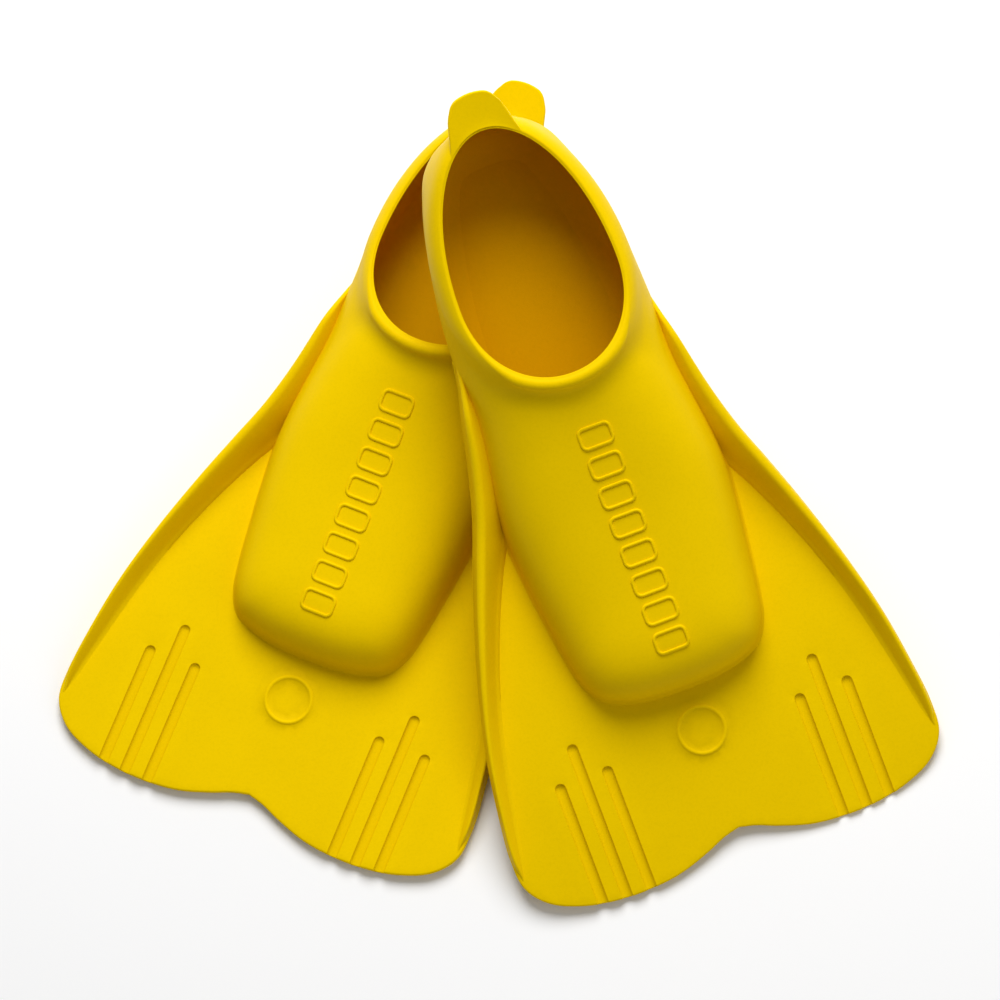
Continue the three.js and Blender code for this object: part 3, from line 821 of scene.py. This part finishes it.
# ---- rails ----
fin_half = half_width(FIN_SIDE)
rail_crest_up = profile(RAIL_CREST_UP)
rail_lean = profile(RAIL_LEAN)
rail_foot = profile(RAIL_FOOT)
rail_foot_up = profile(RAIL_FOOT_UP)
rail_crest_half = profile(RAIL_CREST_HALF)


def rail_section(along):
    """A rail's cross-section as (across, up): outer flank, rounded crest, inner flank and buried foot."""
    top = FLEX_UP + float(blade_thickness(along)) / 2
    fade = math.sqrt(max(1 - smoothstep(along, RAIL_END - RAIL_FADE, RAIL_END), 0))
    bury = RAIL_BURY * (1 - smoothstep(along, RAIL_START, RAIL_START + RAIL_BURY_LENGTH))
    foot_up = float(rail_foot_up(along)) if along < RAIL_ON_PLATE else top - RAIL_FOOT_SINK
    crest = top - RAIL_END_SINK + (float(rail_crest_up(along)) - top + RAIL_END_SINK) * fade
    out = float(fin_half(along)) - RAIL_EDGE_GAP - bury
    radius = min(float(rail_crest_half(along)), (crest - top + RAIL_SINK) * CREST_SHARE)
    foot = min(float(rail_foot(along)), out - 2 * radius - RAIL_MIN_FLANK)
    ridge = max(out - float(rail_lean(along)) - radius, foot + radius)

    t = np.linspace(0, 1, RAIL_FLANK_POINTS)
    outer = np.column_stack([
        mix(out, ridge + radius, t**RAIL_OUTER_POWER),
        mix(top - RAIL_SINK, crest - radius, t),
    ])
    turn = np.linspace(0, CREST_TURN, RAIL_CREST_POINTS)[1:]
    cap = (ridge, crest - radius) + circle_points(radius, turn)
    t = t[1:]
    near_foot = np.clip((t - RAIL_FLARE["from"]) / (1 - RAIL_FLARE["from"]), 0, 1)
    inner = np.column_stack([
        mix(cap[-1, 0], foot, t) - RAIL_FLARE["by"] * near_foot ** RAIL_FLARE["power"],
        mix(cap[-1, 1], foot_up, t**RAIL_INNER_POWER),
    ])
    return np.vstack([outer, cap, inner, (inner[-1, 0], foot_up - RAIL_SINK)])


def rail(sign):
    """A stiffening rail from the pocket's side to near the blade's corner."""
    rings = []
    for along in np.linspace(RAIL_START, RAIL_END, RAIL_STEPS):
        across, up = rail_section(along).T
        rings.append(np.column_stack([sign * across, np.full(len(across), along), up]))
    return (*loft(rings), 0)


# ---- heel tab ----
def tab_grid():
    """Shares of the tab's half width and length at its columns and rows, closer together at its edges."""
    across = np.sin(np.linspace(-math.pi / 2, math.pi / 2, TAB_COLUMNS))
    height = 0.5 - 0.5 * np.cos(np.linspace(0, math.pi, TAB_ROWS))
    return np.meshgrid(across, height, indexing="ij")


def heel_rim():
    """The thin edge round the heel that the tab grows out of."""
    rim = rim_curve(RIM_POINTS)
    away = np.column_stack([plan_normals(rim), np.zeros(len(rim))])
    rim = bead_centre(rim, away, SIDE_BEAD)
    return rim[rim[:, 1] < OPENING["middle"]]


def tab_thickness(a, half, reach, longest):
    """Half the tab's thickness: thicker at its root and rounded off at its edges."""
    from_edge = np.minimum(half * (1 - np.abs(a)), longest - reach) / TAB["half_thickness"]
    rounded = np.sqrt(np.maximum(1 - np.clip(1 - TAB["edge_steepness"] * from_edge, 0, 1) ** 2, 0))
    root = TAB["root"] * (1 - a**2) * np.exp(-reach / TAB["root_length"])
    return (TAB["half_thickness"] + root) * rounded


def tab_middle():
    """The tab's middle surface, and half its thickness there."""
    a, b = tab_grid()
    rim = heel_rim()
    beyond = np.maximum(np.abs(a) * TAB["top_half"] - (TAB["top_half"] - TAB["corner"]), 0)
    drop = TAB["corner"] - np.sqrt(np.maximum(TAB["corner"] ** 2 - beyond**2, 0))
    longest = TAB["length"] - drop - TAB["bow"] * a**2
    reach = b * longest
    share = reach / TAB["length"]
    narrowed = np.clip(share / TAB["narrow_from"], 0, 1) ** TAB["narrow_power"]
    half = mix(TAB["base_half"], TAB["top_half"], narrowed)
    base_across = np.abs(a * TAB["base_half"])
    flat = TAB["flatness"] * smoothstep(share, 0.0, TAB["flat_by"])
    along = mix(np.interp(base_across, rim[:, 0], rim[:, 1]), rim[0, 1], flat)
    up = mix(np.interp(base_across, rim[:, 0], rim[:, 2]), rim[0, 2], flat)
    lean = math.radians(TAB["lean"])
    middle = np.dstack([a * half, along - reach * math.sin(lean), up + reach * math.cos(lean)])
    return middle, tab_thickness(a, half, reach, longest)


def heel_tab():
    """The pull tab: a flap that grows out of the collar's edge and leans back, with rounded corners."""
    middle, thick = tab_middle()
    normal = np.cross(np.gradient(middle, axis=0), np.gradient(middle, axis=1))
    normal /= np.maximum(np.linalg.norm(normal, axis=2), 1e-9)[..., None]
    front, back = middle + normal * thick[..., None], middle - normal * thick[..., None]
    columns, rows = thick.shape
    count = columns * rows
    faces = []
    for i in range(columns - 1):
        for j in range(rows - 1):
            corner = i * rows + j
            quad = (corner, corner + rows, corner + rows + 1, corner + 1)
            faces.append(quad)
            faces.append(tuple(k + count for k in quad[::-1]))
    border = [i * rows for i in range(columns)]
    border += [(columns - 1) * rows + j for j in range(1, rows)]
    border += [i * rows + rows - 1 for i in range(columns - 2, -1, -1)]
    border += [j for j in range(rows - 2, 0, -1)]
    for here, there in zip(border, border[1:] + border[:1]):
        faces.append((there, here, here + count, there + count))
    return np.vstack([front.reshape(-1, 3), back.reshape(-1, 3)]), faces, 0


# ---- raised marks on the instep ----
def mark_path():
    """One mark's middle line, a rectangle with round corners, evenly spaced and centred on 0."""
    corners = [(1, 1), (-1, 1), (-1, -1), (1, -1)]
    inner = np.array((MARK["half"], MARK["long"] / 2)) - MARK["corner"]
    loop = []
    for k, corner in enumerate(corners):
        turn = np.linspace(0, math.pi / 2, MARK_CORNER_POINTS) + k * math.pi / 2
        loop.append(inner * corner + circle_points(MARK["corner"], turn))
    loop = np.vstack(loop)
    return spaced(np.vstack([loop, loop[:1]]), MARK_POINTS + 1)[:-1]


def instep_marks():
    """A row of plain raised outlines along the instep."""
    path = mark_path()
    outward = offset(path, -1) - path
    points, faces = [], []
    for k in range(MARK_ROW["count"]):
        along = MARK_ROW["first"] + k * MARK_ROW["pitch"]
        rings = []
        for out, up in MARK_SECTION:
            plan = path + outward * out * MARK["line"] + (0, along)
            rings.append(np.column_stack([plan, instep_height(*plan.T) + up * MARK["up"]]))
        mark = np.array(rings).transpose(1, 0, 2)
        start = k * MARK_POINTS * len(MARK_SECTION)
        points.append(mark.reshape(-1, 3))
        faces += [tuple(i + start for i in face) for face in ring_faces(len(mark), len(MARK_SECTION), True)]
    return np.vstack(points), faces, 0


# ---- materials ----
class Shading:
    """One material's shader and the nodes that feed it."""

    def __init__(self, name):
        self.material = bpy.data.materials.new(name)
        self.material.use_nodes = True
        self.nodes = self.material.node_tree.nodes
        self.links = self.material.node_tree.links
        self.sockets = self.nodes["Principled BSDF"].inputs
        self.where = self.nodes.new("ShaderNodeTexCoord").outputs["Object"]

    def noise(self, scale, detail, roughness=0.5):
        """A noise over the object, from 0 to 1."""
        node = self.nodes.new("ShaderNodeTexNoise")
        node.inputs["Scale"].default_value = scale
        node.inputs["Detail"].default_value = detail
        node.inputs["Roughness"].default_value = roughness
        self.links.new(self.where, node.inputs["Vector"])
        return node.outputs["Fac"]

    def ramp(self, source, stops):
        """A colour for each value of the source, through (value, colour) stops."""
        node = self.nodes.new("ShaderNodeValToRGB")
        elements = node.color_ramp.elements
        elements.remove(elements[0])
        for i, (at, colour) in enumerate(stops):
            element = elements[0] if i == 0 else elements.new(at)
            element.position = at
            element.color = (*colour, 1)
        self.links.new(source, node.inputs["Fac"])
        return node.outputs["Color"]

    def multiplied(self, amount, first, second):
        """The first colour multiplied by the second one, by the given share."""
        node = self.nodes.new("ShaderNodeMix")
        node.data_type = "RGBA"
        node.blend_type = "MULTIPLY"
        node.inputs["Factor"].default_value = amount
        self.links.new(first, node.inputs["A"])
        self.links.new(second, node.inputs["B"])
        return node.outputs["Result"]

    def bump(self, height, strength, distance):
        """A bump node over the given height; distance is in millimetres."""
        node = self.nodes.new("ShaderNodeBump")
        node.inputs["Strength"].default_value = strength
        node.inputs["Distance"].default_value = distance * MM
        self.links.new(height, node.inputs["Height"])
        return node


def rubber_colour(shading, tone):
    """Soft mottling, fine specks, creases darkened as dust and painted shade, edges lightened as wear and
    painted highlight, and painted shade inside the pocket.
    """
    darker = tuple(c * MOTTLE_DARK for c in tone)
    mottled = shading.ramp(shading.noise(**MOTTLE), [(MOTTLE_FROM, darker), (MOTTLE_TO, tone)])
    specks = shading.ramp(shading.noise(**SPECKS), SPECK_TINTS)
    speckled = shading.multiplied(SPECK_SHARE, mottled, specks)
    # pointiness darkens creases as dust and painted shade, and lightens edges as wear and painted highlight
    pointiness = shading.nodes.new("ShaderNodeNewGeometry").outputs["Pointiness"]
    wear_and_shade = shading.ramp(pointiness, WEAR_AND_SHADE_TINTS)
    surface = shading.multiplied(WEAR_AND_SHADE_SHARE, speckled, wear_and_shade)
    # painted shade: the pocket's inside and its foot bed are darkened and turned orange
    depth = shading.nodes.new("ShaderNodeAttribute")
    depth.attribute_name = "painted_pocket_shade"
    painted_shade = shading.ramp(depth.outputs["Fac"], POCKET_SHADE_TINTS)
    shading.links.new(shading.multiplied(1.0, surface, painted_shade), shading.sockets["Base Color"])


def rubber_shine(shading, roughness):
    """A satin surface whose roughness varies a little from place to place."""
    shading.sockets["Specular IOR Level"].default_value = SPECULAR
    shading.sockets["Specular Tint"].default_value = SPECULAR_TINT
    varied = shading.nodes.new("ShaderNodeMapRange")
    varied.inputs["To Min"].default_value = roughness - SMOOTHER
    varied.inputs["To Max"].default_value = roughness + ROUGHER
    shading.links.new(shading.noise(**SMEARS), varied.inputs["Value"])
    shading.links.new(varied.outputs["Result"], shading.sockets["Roughness"])


def rubber_grain(shading, strength):
    """Soft unevenness and, on top of it, the mould's fine grain."""
    uneven = shading.bump(shading.noise(**UNEVENNESS), UNEVEN_STRENGTH, UNEVEN_HEIGHT)
    grain = shading.bump(shading.noise(**GRAIN), strength, GRAIN_HEIGHT)
    shading.links.new(uneven.outputs["Normal"], grain.inputs["Normal"])
    shading.links.new(grain.outputs["Normal"], shading.sockets["Normal"])


def rubber(name, tone, roughness, grain):
    """Satin moulded rubber."""
    shading = Shading(name)
    rubber_colour(shading, tone)
    rubber_shine(shading, roughness)
    rubber_grain(shading, grain)
    return shading.material


MATERIALS = {name: rubber(name, **look) for name, look in RUBBERS.items()}


# ---- assembly ----
def tab_point(side, rise):
    """The point of the leaning tab's middle line that lies this far beyond its hinge, in the row frame."""
    across, along, up = TAB_HINGE
    lean = math.radians(TAB["lean"])
    return in_row_frame(side, (across, along - rise * math.sin(lean), up + rise * math.cos(lean)))


def add_fin(side, shapes):
    """One fin's pieces: the upper, its marks and the tread on the fin's body, and the plate, rails and pull
    flap baked in place.
    """
    fin, blade, tab = f"{side}_fin", f"{side}_flexing_blade", f"{side}_pull_tab"
    bend = [in_row_frame(side, (0, along, FLEX_UP)) for along in FLEX_SPAN]
    ends = [tab_point(side, rise) for rise in TAB_SPAN]

    upper = make_piece(side, "upper", shapes["upper"], "pocket_rubber")
    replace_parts(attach(upper, fin), f"{side}_foot_pocket", f"{side}_collar")
    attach(make_piece(side, "instep_marks", shapes["instep_marks"], "pocket_rubber"), fin)
    tread = make_piece(side, "tread", shapes["sole"], "sole_rubber")
    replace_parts(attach(tread, fin), f"{side}_sole")

    plate = make_piece(side, "blade_plate", shapes["plate"], "blade_rubber")
    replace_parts(plate, f"{side}_blade_root", f"{side}_blade")
    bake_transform(plate)
    for hand in ("left", "right"):
        piece = make_piece(side, f"rail_{hand}", shapes[f"rail_{hand}"], "blade_rubber")
        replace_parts(piece, f"{side}_rail_rear_{hand}", f"{side}_rail_front_{hand}")
        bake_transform(piece)

    flap = make_piece(side, "pull_flap", shapes["tab"], "pocket_rubber")
    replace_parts(flap, f"{side}_heel_tab")
    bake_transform(flap)


SHAPES = {
    "upper": pocket_and_collar(),
    "plate": blade_plate(),
    "sole": sole(),
    "rail_left": rail(-1),
    "rail_right": rail(1),
    "tab": heel_tab(),
    "instep_marks": instep_marks(),
}
for fin_side in TURNS:
    add_fin(fin_side, SHAPES)


# ---- studio ----
def add_floor():
    """A white sheet under the fins."""
    half = FLOOR["half"]
    mesh = bpy.data.meshes.new("floor")
    corners = [(-half, -half, 0), (half, -half, 0), (half, half, 0), (-half, half, 0)]
    mesh.from_pydata(corners, [], [(0, 1, 2, 3)])
    floor = bpy.data.objects.new("floor", mesh)
    bpy.context.scene.collection.objects.link(floor)
    material = bpy.data.materials.new("floor")
    material.use_nodes = True
    sockets = material.node_tree.nodes["Principled BSDF"].inputs
    sockets["Base Color"].default_value = FLOOR["colour"]
    sockets["Roughness"].default_value = FLOOR["roughness"]
    sockets["Specular IOR Level"].default_value = FLOOR["specular"]
    mesh.materials.append(material)


def add_light(name, azimuth, elevation, distance, size, power):
    """An area light aimed at the fins; azimuth 0 is the camera's side and 180 is behind the heels."""
    data = bpy.data.lights.new(name, "AREA")
    data.shape = "DISK"
    data.size = size
    data.energy = power
    light = bpy.data.objects.new(name, data)
    turn, rise = math.radians(azimuth), math.radians(elevation)
    towards = Vector((math.sin(turn) * math.cos(rise), -math.cos(turn) * math.cos(rise), math.sin(rise)))
    light.location = towards * distance
    light.rotation_mode = "QUATERNION"
    light.rotation_quaternion = towards.to_track_quat("Z", "Y")
    bpy.context.scene.collection.objects.link(light)


def add_world():
    """An even white sky."""
    world = bpy.data.worlds.new("studio")
    world.use_nodes = True
    sockets = world.node_tree.nodes["Background"].inputs
    sockets["Color"].default_value = (1, 1, 1, 1)
    sockets["Strength"].default_value = SKY_STRENGTH
    bpy.context.scene.world = world


def add_camera():
    """The camera, nearly straight above the fins."""
    data = bpy.data.cameras.new("camera")
    data.sensor_width = CAMERA["sensor"]
    data.lens = CAMERA["lens"]
    camera = bpy.data.objects.new("camera", data)
    tilt, side = math.radians(CAMERA["towards_viewer"]), math.radians(CAMERA["towards_right"])
    back = Vector((math.sin(side), -math.sin(tilt) * math.cos(side), math.cos(tilt) * math.cos(side)))
    right = Vector((0, math.cos(tilt), math.sin(tilt))).cross(back).normalized()
    level = Matrix((right, back.cross(right), back)).transposed().to_4x4()
    turn = level @ Matrix.Rotation(math.radians(CAMERA["roll"]), 4, "Z")
    turn.translation = (Vector(CAMERA["target"]) + back * CAMERA["distance"]) * MM
    camera.matrix_world = turn
    data.clip_start, data.clip_end = CAMERA["clip"]
    bpy.context.scene.collection.objects.link(camera)
    bpy.context.scene.camera = camera


add_floor()
add_world()
for light_name, values in LIGHTS.items():
    add_light(light_name, *values)
add_camera()
bpy.context.scene.view_settings.view_transform = "Standard"
